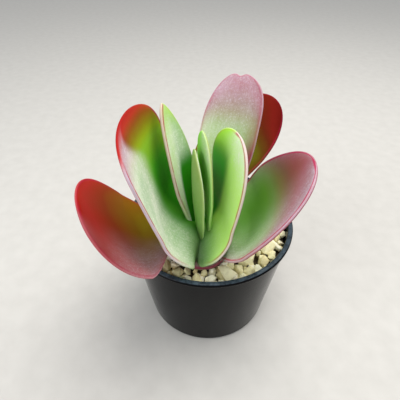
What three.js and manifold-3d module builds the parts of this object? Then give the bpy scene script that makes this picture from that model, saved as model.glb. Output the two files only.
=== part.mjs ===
// Potted paddle-leaf kalanchoe: nine fleshy leaves on a short stem, set off centre
// in a black plastic nursery pot that is topped with stone chips.
// Millimetres, +Z up. The origin is the middle of the pot's flat underside.

import * as THREE from 'three';
import { ConvexGeometry } from 'three/addons/geometries/ConvexGeometry.js';
import { mergeVertices } from 'three/addons/utils/BufferGeometryUtils.js';
import Module from 'manifold-3d';

// ---- Driving dimensions ----------------------------------------------------------

// Gap left between pieces that touch.
const GAP = 0.3;

// The pot: a tapered cup with a rolled rim and drainage holes round its floor.
const POT_HEIGHT = 71.3;
const RIM_RADIUS = 50;
const RIM_DEPTH = 2.7;
const LIP_OVERHANG = 1.6;
const BASE_RADIUS = 40;
const BASE_EDGE = 2.4;
const WALL = 1.5;
const FLOOR = 2.2;
const FLOOR_CORNER = 1.5;
const DRAIN_COUNT = 6;
const DRAIN_RADIUS = 3;
const DRAIN_CIRCLE = 28;
const POT_SEGMENTS = 56;

// What fills the pot, from the floor up.
const SOIL_TOP = 58;
const BED_TOP = 62.2;

// The stem stands off centre, and every leaf springs from round its axis.
const CROWN_X = -3;
const CROWN_Y = -24;
const STEM_SIDES = 36;

// The collar is the flared lip of fused leaf feet at the bottom of the stem.
const COLLAR_RADIUS = 13.5;
const COLLAR_LOBE = 3.6;
const COLLAR_LOBE_SPREAD = 35;
const COLLAR_LOBE_HEADINGS = [189, 87];

// The larger stone chips of the gravel: how far each reaches from its middle in plan,
// its breadth as a share of its length, and its height.
const CHIP_COUNT = 45;
const CHIP_LEVEL = 65.7;
const CHIP_REACH = [4.4, 6.0];
const CHIP_BREADTH = [0.74, 0.98];
const CHIP_HEIGHT = [5.2, 6.4];
const CHIP_TILT = 0.08;
const CHIP_TRIES = 260;
const CHIP_FLATS = 7;
const CHIP_FLAT_DEPTH = [0.62, 0.86];

// Each leaf, outermost last. Angles are in degrees.
//   heading    compass direction of its foot, counter-clockwise from +X
//   reach      distance of the foot from the stem's axis
//   foot       height of the foot
//   rise       steepness at the foot, and curl is what it gains by the tip
//   turn       how far the heading swings by the tip
//   cup        arc that the full width bends through
//   roll       rotation about its own length at the foot, twist is what it gains
//   waist      width at the foot, as a share of the full width
//   belly      where along the leaf it is widest
const LEAVES = {
  leaf_heart_front: {
    heading: 201, reach: 3.5, foot: 85.5, length: 48, width: 19, thickness: 2.4,
    rise: 87, curl: 5, turn: -3, cup: 50, roll: 0, twist: -6, waist: 0.36, belly: 0.57,
  },
  leaf_heart_rear: {
    heading: 15, reach: 4.5, foot: 81.5, length: 60, width: 17, thickness: 2.4,
    rise: 92, curl: 6, turn: 3, cup: 23, roll: -3, twist: 8, waist: 0.39, belly: 0.56,
  },
  leaf_inner_left: {
    heading: 143, reach: 6, foot: 79.5, length: 69, width: 15, thickness: 2.8,
    rise: 77, curl: -2, turn: 3, cup: 66, roll: 4, twist: 9, waist: 0.33, belly: 0.52,
  },
  leaf_inner_right: {
    heading: -7, reach: 9.5, foot: 71.5, length: 71, width: 40, thickness: 3.0,
    rise: 84, curl: 5, turn: 22, cup: 33, roll: 10, twist: 0, waist: 0.81, belly: 0.62,
  },
  leaf_tall_left: {
    heading: 197, reach: 14, foot: 73, length: 81, width: 57, thickness: 3.2,
    rise: 75, curl: 6, turn: -19, cup: 46, roll: -9, twist: 5, waist: 0.77, belly: 0.65,
  },
  leaf_tall_rear: {
    heading: 74, reach: 12.5, foot: 73.5, length: 85, width: 35, thickness: 3.2,
    rise: 55, curl: 9, turn: -8, cup: 12, roll: -7, twist: -7, waist: 0.39, belly: 0.67,
  },
  leaf_low_right: {
    heading: 350, reach: 14, foot: 72, length: 70, width: 56, thickness: 3.4,
    rise: 51, curl: 21, turn: -5, cup: 65, roll: -3, twist: 16, waist: 0.31, belly: 0.42,
  },
  leaf_low_rear: {
    heading: 87, reach: 18.5, foot: 73, length: 99, width: 45, thickness: 3.2,
    rise: 24, curl: 4, turn: -60, cup: 5, roll: -23, twist: 59, waist: 0.28, belly: 0.58,
  },
  leaf_low_left: {
    heading: 189, reach: 18.5, foot: 72, length: 63, width: 59, thickness: 3.2,
    rise: 35, curl: 28, turn: 60, cup: 28, roll: 16, twist: -62, waist: 0.28, belly: 0.44,
  },
};
const LEAF_STATIONS = 22;
const LEAF_SIDES = 16;
const SMALL_LEAF_WIDTH = 25;
const SMALL_LEAF_STATIONS = 18;
const SMALL_LEAF_SIDES = 12;
const CLASP_SHARE = 0.4;
const WAIST_CURVE = 1.3;
const ROUND_END = 2.2;
const SQUARE_TIP = 30;
const PATH_STEPS = 60;
const TIP_ANGLE = 88;
const FOOT_THICKENING = 1.1;
const TIP_THINNING = 0.3;
const MARGIN_BLUNTNESS = 0.6;

// ---- Materials -------------------------------------------------------------------

function finish(colour, roughness) {
  return new THREE.MeshStandardMaterial({ color: colour, roughness, metalness: 0 });
}

const POT_BLACK = finish(0x15171a, 0.22);
const SOIL_BROWN = finish(0x3a2a1e, 0.95);
const CHIP_CREAM = finish(0xd9cba6, 0.8);
const STEM_GREEN = finish(0x8a8a5c, 0.6);
const LEAF_GREEN = finish(0x6f9a4a, 0.45);
const LEAF_RED = finish(0x8e3a2e, 0.45);
const RED_LEAVES = new Set(['leaf_low_left', 'leaf_low_rear']);

// ---- Small helpers ---------------------------------------------------------------

const wasm = await Module();
wasm.setup();

const radians = THREE.MathUtils.degToRad;
const { clamp, lerp, smoothstep } = THREE.MathUtils;

// Repeatable random numbers from 0 to 1.
function seeded(seed) {
  let state = seed;
  return () => {
    state = (state + 0x6d2b79f5) | 0;
    let mixed = Math.imul(state ^ (state >>> 15), 1 | state);
    mixed = (mixed + Math.imul(mixed ^ (mixed >>> 7), 61 | mixed)) ^ mixed;
    return ((mixed ^ (mixed >>> 14)) >>> 0) / 4294967296;
  };
}

function geometryOf(points, triangles) {
  const geometry = new THREE.BufferGeometry();
  geometry.setAttribute('position', new THREE.Float32BufferAttribute(points, 3));
  geometry.setIndex(triangles);
  return geometry;
}

// Merges shared corners, drops the slivers that merging leaves and faces the rest outward.
function closed(source) {
  const bare = source.clone();
  bare.deleteAttribute('normal');
  bare.deleteAttribute('uv');
  const merged = mergeVertices(bare, 1e-4);
  const position = merged.getAttribute('position');
  const [a, b, c] = [new THREE.Vector3(), new THREE.Vector3(), new THREE.Vector3()];
  const kept = [];
  let volume = 0;
  for (let i = 0; i < merged.index.count; i += 3) {
    const [p, q, r] = [0, 1, 2].map((k) => merged.index.getX(i + k));
    if (p === q || q === r || r === p) continue;
    kept.push(p, q, r);
    a.fromBufferAttribute(position, p);
    b.fromBufferAttribute(position, q);
    c.fromBufferAttribute(position, r);
    volume += a.dot(b.cross(c));
  }
  merged.setIndex(volume < 0 ? kept.reverse() : kept);
  return merged;
}

function solidOf(geometry) {
  const shape = closed(geometry);
  return new wasm.Manifold(new wasm.Mesh({
    numProp: 3,
    vertProperties: new Float32Array(shape.getAttribute('position').array),
    triVerts: new Uint32Array(shape.index.array),
  }));
}

function geometryOfSolid(solid) {
  const mesh = solid.getMesh();
  return geometryOf(Array.from(mesh.vertProperties), Array.from(mesh.triVerts));
}

// A solid of revolution about Z from [radius, height] corners.
function turned(profile, segments) {
  const corners = profile.map(([radius, height]) => new THREE.Vector2(radius, height));
  return new THREE.LatheGeometry(corners, segments).rotateX(Math.PI / 2);
}

// Points of a quarter or half round, in degrees, as [radius, height] corners.
function arc(centreRadius, centreHeight, size, from, to, steps) {
  return Array.from({ length: steps + 1 }, (_, i) => {
    const angle = radians(lerp(from, to, i / steps));
    return [centreRadius + size * Math.cos(angle), centreHeight + size * Math.sin(angle)];
  });
}

// Skins a row of equal rings. Each ring runs round once, and point j faces point
// sides - j across it, so its two ends close with a flat strip whatever its bend.
function skinned(rings) {
  const sides = rings[0].length;
  const half = sides / 2;
  const last = (rings.length - 1) * sides;
  const triangles = [];
  for (let i = 0; i + 1 < rings.length; i += 1) {
    for (let j = 0; j < sides; j += 1) {
      const [a, b] = [i * sides + j, i * sides + (j + 1) % sides];
      triangles.push(a, b, b + sides, a, b + sides, a + sides);
    }
  }
  for (let j = 0; j < half; j += 1) {
    const [a, b] = [j, j + 1];
    const [c, d] = [(sides - j) % sides, sides - j - 1];
    if (a !== c) triangles.push(a, c, b, last + a, last + b, last + c);
    if (b !== d) triangles.push(b, c, d, last + b, last + d, last + c);
  }
  return geometryOf(rings.flat().flatMap((point) => point.toArray()), triangles);
}

function named(name, geometry, material) {
  const mesh = new THREE.Mesh(closed(geometry), material);
  mesh.name = name;
  return mesh;
}

// ---- The pot and what fills it ---------------------------------------------------

const WALL_TOP_RADIUS = RIM_RADIUS - LIP_OVERHANG;
const WALL_TOP = POT_HEIGHT - RIM_DEPTH;

// Outer radius of the tapered wall at a height.
function wallRadius(height) {
  return lerp(BASE_RADIUS, WALL_TOP_RADIUS, (height - BASE_EDGE) / (WALL_TOP - BASE_EDGE));
}

function potGeometry() {
  const lip = RIM_DEPTH / 2;
  const lipCentre = POT_HEIGHT - lip;
  const innerTop = WALL_TOP_RADIUS - WALL;
  const profile = [
    [0, 0],
    ...arc(BASE_RADIUS - BASE_EDGE, BASE_EDGE, BASE_EDGE, -90, 0, 3),
    [WALL_TOP_RADIUS, WALL_TOP],
    ...arc(RIM_RADIUS - lip, lipCentre, lip, -60, 90, 5),
    ...arc(innerTop + 1, POT_HEIGHT - 1, 1, 90, 180, 2),
    [wallRadius(FLOOR + FLOOR_CORNER) - WALL, FLOOR + FLOOR_CORNER],
    [wallRadius(FLOOR) - WALL - FLOOR_CORNER, FLOOR],
    [0, FLOOR],
  ];
  let pot = solidOf(turned(profile, POT_SEGMENTS));
  for (let i = 0; i < DRAIN_COUNT; i += 1) {
    const angle = (i * 2 * Math.PI) / DRAIN_COUNT;
    const drill = new THREE.CylinderGeometry(DRAIN_RADIUS, DRAIN_RADIUS, 3 * FLOOR, 16)
      .rotateX(Math.PI / 2)
      .translate(DRAIN_CIRCLE * Math.cos(angle), DRAIN_CIRCLE * Math.sin(angle), 0);
    pot = pot.subtract(solidOf(drill));
  }
  return geometryOfSolid(pot);
}

// A plug that fills the cup between two heights, clear of the wall and its facets.
function fillGeometry(bottom, top) {
  const inset = WALL + 2 * GAP;
  return turned([
    [0, bottom],
    [wallRadius(bottom) - inset - FLOOR_CORNER, bottom],
    [wallRadius(bottom + FLOOR_CORNER) - inset, bottom + FLOOR_CORNER],
    [wallRadius(top) - inset, top],
    [0, top],
  ], POT_SEGMENTS);
}

// A fill with room for the buried stem.
function plantedGeometry(bottom, top) {
  const room = solidOf(stemGeometry(GAP));
  return geometryOfSolid(solidOf(fillGeometry(bottom, top)).subtract(room));
}

// ---- The stem --------------------------------------------------------------------

// Radius of the collar's edge in a direction: round, with a lobe under each low leaf.
function collarRadius(heading) {
  return COLLAR_LOBE_HEADINGS.reduce((radius, lobe) => {
    const away = ((heading - lobe + 540) % 360) - 180;
    return radius + COLLAR_LOBE * Math.exp(-((away / COLLAR_LOBE_SPREAD) ** 2));
  }, COLLAR_RADIUS);
}

// Levels of the stem from the root up: height, radius, and how far the collar flares.
const STEM_LEVELS = [
  { height: 22, radius: 1.2, flare: 0 },
  { height: 34, radius: 3.4, flare: 0 },
  { height: 48, radius: 6.2, flare: 0 },
  { height: 58, radius: 7.4, flare: 0 },
  { height: 64.4, radius: 7.2, flare: 0 },
  { height: 65.6, radius: 7.0, flare: 0.62 },
  { height: 67.2, radius: 7.0, flare: 0.94 },
  { height: 68.8, radius: 7.0, flare: 1 },
  { height: 69.9, radius: 7.0, flare: 0.93 },
  { height: 70.3, radius: 7.0, flare: 0.75 },
  { height: 70.5, radius: 6.7, flare: 0 },
  { height: 75, radius: 4.8, flare: 0 },
  { height: 80, radius: 2.7, flare: 0 },
  { height: 85, radius: 1.6, flare: 0 },
  { height: 87, radius: 0.9, flare: 0 },
];

function stemGeometry(growth = 0) {
  return skinned(STEM_LEVELS.map(({ height, radius, flare }) => (
    Array.from({ length: STEM_SIDES }, (_, j) => {
      const heading = (j * 360) / STEM_SIDES;
      const size = lerp(radius, collarRadius(heading), flare) + growth;
      return new THREE.Vector3(
        CROWN_X + size * Math.cos(radians(heading)),
        CROWN_Y + size * Math.sin(radians(heading)),
        height,
      );
    })
  )));
}

// ---- The leaves ------------------------------------------------------------------

// Half the width of a leaf at a share of its length: a paddle with a round end.
function halfWidth(leaf, along) {
  const toBelly = Math.min(along / leaf.belly, 1);
  const pastBelly = clamp((along - leaf.belly) / (1 - leaf.belly), 0, 1);
  const share = along < leaf.belly
    ? lerp(leaf.waist, 1, Math.sin((Math.PI / 2) * toBelly) ** WAIST_CURVE)
    : Math.sqrt(1 - pastBelly ** ROUND_END);
  return (leaf.width / 2) * share;
}

// Direction in which the leaf grows at a share of its length.
function growthAt(leaf, along) {
  const rise = radians(leaf.rise + leaf.curl * along);
  const heading = radians(leaf.heading + leaf.turn * along);
  return new THREE.Vector3(
    Math.cos(rise) * Math.cos(heading),
    Math.cos(rise) * Math.sin(heading),
    Math.sin(rise),
  );
}

// Points of the leaf's middle line, evenly spaced from foot to tip.
function middleLine(leaf) {
  const heading = radians(leaf.heading);
  const points = [new THREE.Vector3(
    CROWN_X + leaf.reach * Math.cos(heading),
    CROWN_Y + leaf.reach * Math.sin(heading),
    leaf.foot,
  )];
  const step = leaf.length / PATH_STEPS;
  for (let i = 0; i < PATH_STEPS; i += 1) {
    const direction = growthAt(leaf, (i + 0.5) / PATH_STEPS);
    points.push(points[i].clone().addScaledVector(direction, step));
  }
  return points;
}

// One ring of the leaf's skin: a thin, blunt-edged slice bent into an arc.
function leafRing(leaf, line, along, sides) {
  const place = along * PATH_STEPS;
  const start = Math.min(Math.floor(place), PATH_STEPS - 1);
  const middle = line[start].clone().lerp(line[start + 1], place - start);

  const heading = radians(leaf.heading + leaf.turn * along);
  const level = new THREE.Vector3(-Math.sin(heading), Math.cos(heading), 0);
  const face = growthAt(leaf, along).cross(level);
  const roll = radians(leaf.roll + leaf.twist * along);
  const across = level.clone().multiplyScalar(Math.cos(roll))
    .addScaledVector(face, Math.sin(roll));
  const up = face.clone().multiplyScalar(Math.cos(roll))
    .addScaledVector(level, -Math.sin(roll));

  const clasp = 1 - smoothstep(along, 0, CLASP_SHARE);
  const bend = lerp(radians(leaf.cup) / leaf.width, 1 / leaf.reach, clasp);
  const reach = halfWidth(leaf, along);
  const tipRound = Math.sqrt(1 - along ** SQUARE_TIP);
  const depth = (leaf.thickness / 2) * (FOOT_THICKENING - TIP_THINNING * along) * tipRound;

  return Array.from({ length: sides }, (_, j) => {
    const turn = (j * 2 * Math.PI) / sides;
    const side = Math.sin(turn);
    const angle = bend * reach * Math.cos(turn);
    const offset = depth * Math.sign(side) * Math.abs(side) ** MARGIN_BLUNTNESS;
    const radius = 1 / bend - offset;
    return middle.clone()
      .addScaledVector(across, radius * Math.sin(angle))
      .addScaledVector(up, 1 / bend - radius * Math.cos(angle));
  });
}

function leafGeometry(leaf) {
  const small = leaf.width < SMALL_LEAF_WIDTH;
  const stations = small ? SMALL_LEAF_STATIONS : LEAF_STATIONS;
  const sides = small ? SMALL_LEAF_SIDES : LEAF_SIDES;
  const line = middleLine(leaf);
  return skinned(Array.from({ length: stations }, (_, i) => {
    const along = Math.sin(radians((TIP_ANGLE * i) / (stations - 1)));
    return leafRing(leaf, line, along, sides);
  }));
}

// ---- The stone chips -------------------------------------------------------------

function between([low, high], share) {
  return lerp(low, high, share);
}

// An angular chip of unit radius: a ball with random flats knocked off it.
function chipGeometry(random) {
  const position = new THREE.IcosahedronGeometry(1, 1).getAttribute('position');
  const flats = Array.from({ length: CHIP_FLATS }, () => ({
    normal: new THREE.Vector3(random() - 0.5, random() - 0.5, random() - 0.5).normalize(),
    depth: between(CHIP_FLAT_DEPTH, random()),
  }));
  const points = Array.from({ length: position.count }, (_, i) => {
    const point = new THREE.Vector3().fromBufferAttribute(position, i);
    for (const { normal, depth } of flats) {
      const proud = point.dot(normal) - depth;
      if (proud > 0) point.addScaledVector(normal, -proud);
    }
    return point;
  });
  return new ConvexGeometry(points);
}

// Free distance from a point of the gravel to the wall, the collar and the chips laid.
function roomAt(x, y, laid) {
  const [fromStemX, fromStemY] = [x - CROWN_X, y - CROWN_Y];
  const heading = THREE.MathUtils.radToDeg(Math.atan2(fromStemY, fromStemX));
  const wall = wallRadius(CHIP_LEVEL - CHIP_HEIGHT[1] / 2) - WALL - GAP;
  return Math.min(
    wall - Math.hypot(x, y),
    Math.hypot(fromStemX, fromStemY) - collarRadius(heading),
    ...laid.map((chip) => Math.hypot(x - chip.x, y - chip.y) - chip.reach),
  ) - GAP;
}

// Lays the chips one by one, each where the most room is left.
function chipPlaces(random) {
  const laid = [];
  while (laid.length < CHIP_COUNT) {
    let best = { room: 0 };
    for (let i = 0; i < CHIP_TRIES; i += 1) {
      const heading = 2 * Math.PI * random();
      const distance = wallRadius(CHIP_LEVEL) * Math.sqrt(random());
      const [x, y] = [distance * Math.cos(heading), distance * Math.sin(heading)];
      const room = roomAt(x, y, laid);
      if (room > best.room) best = { x, y, room };
    }
    laid.push({ ...best, reach: Math.min(best.room, between(CHIP_REACH, random())) });
  }
  return laid;
}

function chipMeshes() {
  const random = seeded(7);
  return chipPlaces(random).map(({ x, y, reach }, i) => {
    const geometry = chipGeometry(random);
    geometry.scale(
      reach,
      reach * between(CHIP_BREADTH, random()),
      between(CHIP_HEIGHT, random()) / 2,
    );
    const chip = named(`stone_chip_${String(i + 1).padStart(2, '0')}`, geometry, CHIP_CREAM);
    const [pitch, sway] = [CHIP_TILT, CHIP_TILT].map((most) => most * (2 * random() - 1));
    chip.position.set(x, y, CHIP_LEVEL);
    chip.rotation.set(pitch, sway, 2 * Math.PI * random());
    return chip;
  });
}

// ---- The whole plant in its pot --------------------------------------------------

const plant = new THREE.Group();
plant.name = 'potted_kalanchoe';
plant.add(named('pot', potGeometry(), POT_BLACK));
plant.add(named('soil', plantedGeometry(FLOOR + GAP, SOIL_TOP), SOIL_BROWN));
plant.add(named('gravel_bed', plantedGeometry(SOIL_TOP + GAP, BED_TOP), CHIP_CREAM));
plant.add(named('stem', stemGeometry(), STEM_GREEN));
for (const [name, leaf] of Object.entries(LEAVES)) {
  plant.add(named(name, leafGeometry(leaf), RED_LEAVES.has(name) ? LEAF_RED : LEAF_GREEN));
}
plant.add(...chipMeshes());

export default plant;
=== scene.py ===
"""Potted paddle-leaf kalanchoe: powdery leaves on a short stem, in a black pot of stone chips."""

import math
import random

import bmesh
import bpy
import numpy as np
from mathutils import Euler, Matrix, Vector, noise


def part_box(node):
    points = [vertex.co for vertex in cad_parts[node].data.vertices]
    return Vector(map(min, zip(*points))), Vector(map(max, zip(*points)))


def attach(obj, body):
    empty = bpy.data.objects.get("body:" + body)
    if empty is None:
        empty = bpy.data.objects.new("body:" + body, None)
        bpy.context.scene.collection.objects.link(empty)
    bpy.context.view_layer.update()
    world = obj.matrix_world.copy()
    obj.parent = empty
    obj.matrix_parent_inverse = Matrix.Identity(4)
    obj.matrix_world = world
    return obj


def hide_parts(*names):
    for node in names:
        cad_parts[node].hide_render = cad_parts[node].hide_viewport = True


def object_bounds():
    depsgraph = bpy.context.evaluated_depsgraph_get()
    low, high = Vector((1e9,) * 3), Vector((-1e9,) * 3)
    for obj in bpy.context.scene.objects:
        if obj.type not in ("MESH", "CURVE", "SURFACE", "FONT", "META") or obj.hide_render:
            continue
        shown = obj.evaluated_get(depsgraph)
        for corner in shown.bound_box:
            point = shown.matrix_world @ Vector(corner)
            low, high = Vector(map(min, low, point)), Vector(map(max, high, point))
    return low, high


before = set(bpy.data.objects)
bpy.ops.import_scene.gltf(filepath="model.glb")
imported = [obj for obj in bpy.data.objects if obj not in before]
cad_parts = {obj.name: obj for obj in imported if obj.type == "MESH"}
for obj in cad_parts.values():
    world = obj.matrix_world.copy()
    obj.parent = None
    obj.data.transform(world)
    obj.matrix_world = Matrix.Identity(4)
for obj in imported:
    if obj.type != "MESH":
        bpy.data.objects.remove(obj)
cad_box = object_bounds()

MM = 0.001

# ---- Places and sizes taken from the frame ----

pot_low, pot_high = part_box("pot")
RIM_RADIUS = (pot_high.x - pot_low.x) / 2 / MM
POT_HEIGHT = pot_high.z / MM
BED_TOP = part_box("gravel_bed")[1].z / MM

# ---- Driving dimensions, in millimetres and degrees ----

CROWN = np.array([-3.0, -24.0])

# How each leaf lies and what shape it has. Places along run from 0 at the foot to 1 at the
# tip. Each leaf has a near half, on the side that faces the front, and a far half.
#   heading, turn  which way the foot points, and how far round the leaf swings by its tip
#   reach, foot    how far out from the crown the foot is, and how high
#   length, width, thickness
#   rise, curl     how steep the foot is, and how much steeper the tip is
#   cup            angle through which the widest part is curved
#   roll, twist    how far the foot is rolled about the leaf's own line, and the tip's gain
#   waist          width of the foot, as a share of the full width
#   flank          how slowly the leaf widens above its foot
#   belly          place along where it is widest
#   square, point  how square and how pointed its end is
#   near_end       belly, square and point of the near half, where they differ
#   lean           how far the tip is pushed sideways
#   notch          a dip in the tip: how far it is from the middle, its breadth, its depth
LEAVES = {
    "leaf_heart_front": dict(
        heading=201, reach=0.2, foot=75.8, length=58, width=19, thickness=2.4, rise=80,
        curl=13, turn=-3, cup=50, roll=0, twist=-6, waist=0.10, flank=1.0, belly=0.65,
        point=0.6,
    ),
    "leaf_heart_rear": dict(
        heading=15, reach=3.4, foot=82.5, length=59.5, width=19.5, thickness=2.4, rise=90,
        curl=7, turn=3, cup=23, roll=-3, twist=8, waist=0.12, flank=1.0, belly=0.60,
        point=0.6,
    ),
    "leaf_inner_left": dict(
        heading=143, reach=6.6, foot=82, length=67.8, width=19.5, thickness=2.8, rise=77,
        curl=-2, turn=3, cup=66, roll=4, twist=9, waist=0.12, flank=1.1, belly=0.52,
        point=0.72,
    ),
    "leaf_inner_right": dict(
        heading=-7, reach=9.5, foot=71.5, length=71, width=40, thickness=3.0, rise=84,
        curl=5, turn=22, cup=33, roll=10, twist=0, waist=0.81, belly=0.62,
    ),
    "leaf_tall_left": dict(
        heading=197, reach=14, foot=73, length=81.4, width=57, thickness=3.2, rise=75,
        curl=6, turn=-19, cup=46, roll=-9, twist=5, waist=0.77, belly=0.65, square=4.0,
        near_end=(0.68, 4.6, 0.52), lean=3.0,
    ),
    "leaf_tall_rear": dict(
        heading=74, reach=12.5, foot=73.5, length=86, width=35, thickness=3.2, rise=55,
        curl=9, turn=-8, cup=12, roll=-7, twist=-7, waist=0.39, belly=0.64, square=3.8,
        near_end=(0.66, 2.3, 0.48), lean=-0.7, notch=(0.5, 2.4, 1.5),
    ),
    "leaf_low_right": dict(
        heading=350, reach=14, foot=72, length=70, width=56, thickness=3.4, rise=51,
        curl=21, turn=-5, cup=65, roll=-3, twist=16, waist=0.31, belly=0.42,
    ),
    "leaf_low_rear": dict(
        heading=87, reach=18.5, foot=73, length=99, width=45, thickness=3.2, rise=24,
        curl=4, turn=-60, cup=5, roll=-23, twist=59, waist=0.28, belly=0.58,
    ),
    "leaf_low_left": dict(
        heading=189, reach=18.5, foot=72, length=63, width=59, thickness=3.2, rise=35,
        curl=28, turn=60, cup=28, roll=16, twist=-62, waist=0.28, belly=0.44,
    ),
}
FLANK = 1.3
SQUARE = 2.2
POINT = 0.5
LEAF_STATIONS = 130
LEAF_SIDES = 96
LINE_STEPS = 240
TIP_ANGLE = 89.3
TIP_BLUNTNESS = 30
EDGE_FULLNESS = 0.6
FOOT_FULLNESS = 1.1
THINNING = 0.3
LEAN_SPAN = (0.6, 0.95)
NOTCH_SPAN = (0.8, 1)

# How each leaf is coloured. near says which edge of the mesh faces the front, -1 or 1.
# Places across run from -1 on the far margin to 1 on the near one.
#   pigment    how ripe (0 deep green, 1 crimson) the leaf is at its foot
#   tip        what the pigment gains, between two places along
#   margin     what it gains at the margins, and over how many millimetres
#   side       what it gains towards the near side
#    deep_and_shade  a streak of dark green, partly bare flesh and partly painted shade from the
#                    leaves beside it: amount, from and to across, from and to along
#    highlight  a painted highlight: a streak of light yellow-green where the leaf catches the
#               light, in the same terms
#   slant      how far both streaks lean across from foot to tip
#   flush      a patch of riper, barer flesh, in the same terms
#    cap        the painted highlight's colour all over the tip: amount, between two places
#               along
#   bloom      how thick the powder is, and between which places across it comes in
#   bare       share of the powder that the tip has lost (below 0, gained), between two
#              places along
#   skew       how much sooner it is lost away from the near margin
#   rubbed     share of the powder that is lost towards the foot
#   edge_dust  powder gained at the margins, and over how many millimetres
#   back       how thick the powder is on the outer face
#    overall_shade  painted shade: share by which the whole skin is darker
#   muted      whether the flesh ripens through a greyer green
#   rim, line  strength of the pale rim and of the crimson line inside it
#   fade       between which places along the rim and the line come in
#   shed       share of the rim and of the marginal powder that the tip has lost
#   polish     how strongly the bare skin shines
#   far_rim    share of the rim and of the line that the far margin has
#    crevice_shade  painted shade: how dark the foot is in the crevice where it meets its
#                   opposite leaf
#    highlight_colour, deep_and_shade_tip, dust and rim_colour are shades: of the painted
#    highlight and the cap, of the dark green and painted shade streak near the tip, of the
#    powder, and of the rim
PATTERNS = {
    "leaf_heart_front": dict(
        near=1, pigment=0.38, tip=(0.05, 0.1, 0.95), margin=(0.02, 2), side=0.02,
        deep_and_shade=(0.55, -2, 0.1, -1, 0.02), highlight=(0.8, 0.4, 2, 0.1, 2),
        bloom=(0.60, -0.3, 0.8), bare=(-0.4, 0.4, 0.95), back=0.17,
        rim=0.35, line=0.0, rim_colour="#d6e6a0", highlight_colour="#9fe452",
    ),
    "leaf_heart_rear": dict(
        near=-1, pigment=0.31, tip=(0.12, 0.2, 0.8), margin=(0.06, 2), side=0.04,
        deep_and_shade=(0.8, -2, 0.3, -1, 0.06), highlight=(0.75, -1.4, 2, 0.15, 2),
        bloom=(0.16, -1.0, 0.8), bare=(-2.4, 0.6, 0.95), back=0.16,
        rim=0.35, line=0.0, rim_colour="#d3e6a0", cap=(0.7, 0.6, 0.95),
        highlight_colour="#8be048",
    ),
    "leaf_inner_left": dict(
        near=1, pigment=0.27, tip=(0.10, 0.4, 1), margin=(0.06, 2), side=0.0,
        deep_and_shade=(0.95, -2, 0.10, -1, 0.60), highlight=(0.75, 0.2, 2, 0, 0.95), slant=-0.9,
        bloom=(0.64, -1.9, 0.2), bare=(0.6, 0.75, 0.95), back=0.2,
        rim=0.85, line=0.8, rim_colour="#d9bdb6", fade=(0.05, 0.4), far_rim=0.1,
        cap=(0.6, 0.78, 0.95), deep_and_shade_tip="#2c7424",
    ),
    "leaf_inner_right": dict(
        near=-1, pigment=0.29, tip=(0.06, 0.5, 1), margin=(0.04, 3), side=0.02,
        deep_and_shade=(1.0, -2, -0.36, 0.12, 0.76), highlight=(1.0, -0.4, 2, 0.2, 2), slant=0.7,
        bloom=(0.24, -0.9, 0.5), bare=(-1.4, 0.66, 0.94), back=0.25,
        rim=0.9, line=0.8, rim_colour="#d2b9ba", fade=(0.1, 0.32),
        cap=(0.85, 0.66, 0.90), far_rim=0.3, highlight_colour="#b4ec48",
    ),
    "leaf_tall_left": dict(
        near=1, pigment=0.27, tip=(0.68, 0.64, 1.10), margin=(0.16, 3), side=0.0,
        deep_and_shade=(1.0, -0.98, -0.24, -1, 0.63), highlight=(0.6, -1.7, -0.05, 0.58, 0.84), slant=0.9,
        bloom=(0.74, -0.30, 0.24), bare=(1.0, 0.91, 1.0), back=0.3,
        rim=0.9, line=0.9, rim_colour="#c9b3c2", fade=(0.17, 0.38), dust="#dedfd3",
        crevice_shade=0.75, shed=1.0, rubbed=0.66, highlight_colour="#93b812", skew=0.28,
    ),
    "leaf_tall_rear": dict(
        near=1, pigment=0.28, tip=(0.50, 0.5, 0.98), margin=(0.26, 3), side=0.0,
        deep_and_shade=(0.9, -1, 1, -1, 0.3), highlight=(0.65, -2, 2, 0.3, 0.64),
        bloom=(0.44, -1.6, -0.5), bare=(-0.35, 0.6, 0.95), back=0.3, overall_shade=0.08,
        rim=0.5, line=0.25, rim_colour="#c3a5b2", muted=True,
        flush=(0.42, -2, -0.62, 0.2, 0.60),
    ),
    "leaf_low_right": dict(
        near=-1, pigment=0.25, tip=(0.50, 0.35, 0.88), margin=(0.27, 6), side=0.10,
        bloom=(0.38, -0.6, 0.9), bare=(-0.35, 0.4, 0.9), back=0.25, overall_shade=0.18,
        rim=0.4, line=0.9, rim_colour="#b07f8c", muted=True,
        edge_dust=(0.34, 6),
    ),
    "leaf_low_rear": dict(
        near=-1, pigment=0.38, tip=(0.42, 0.5, 0.95), margin=(0.18, 6), side=0.10,
        bloom=(0, -1, 1), bare=(0.5, 0.5, 1), back=0, overall_shade=0.66,
        rim=0.1, line=0.3, rim_colour="#8a3a30", polish=0.01,
    ),
    "leaf_low_left": dict(
        near=1, pigment=0.57, tip=(0.27, 0.1, 0.9), margin=(0.14, 7), side=0.07,
        bloom=(0.42, -0.1, 0.9), bare=(0.75, 0.58, 0.88), back=0.12,
        rim=0.25, line=0.4, rim_colour="#b9727c", polish=0.02,
    ),
}

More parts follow.
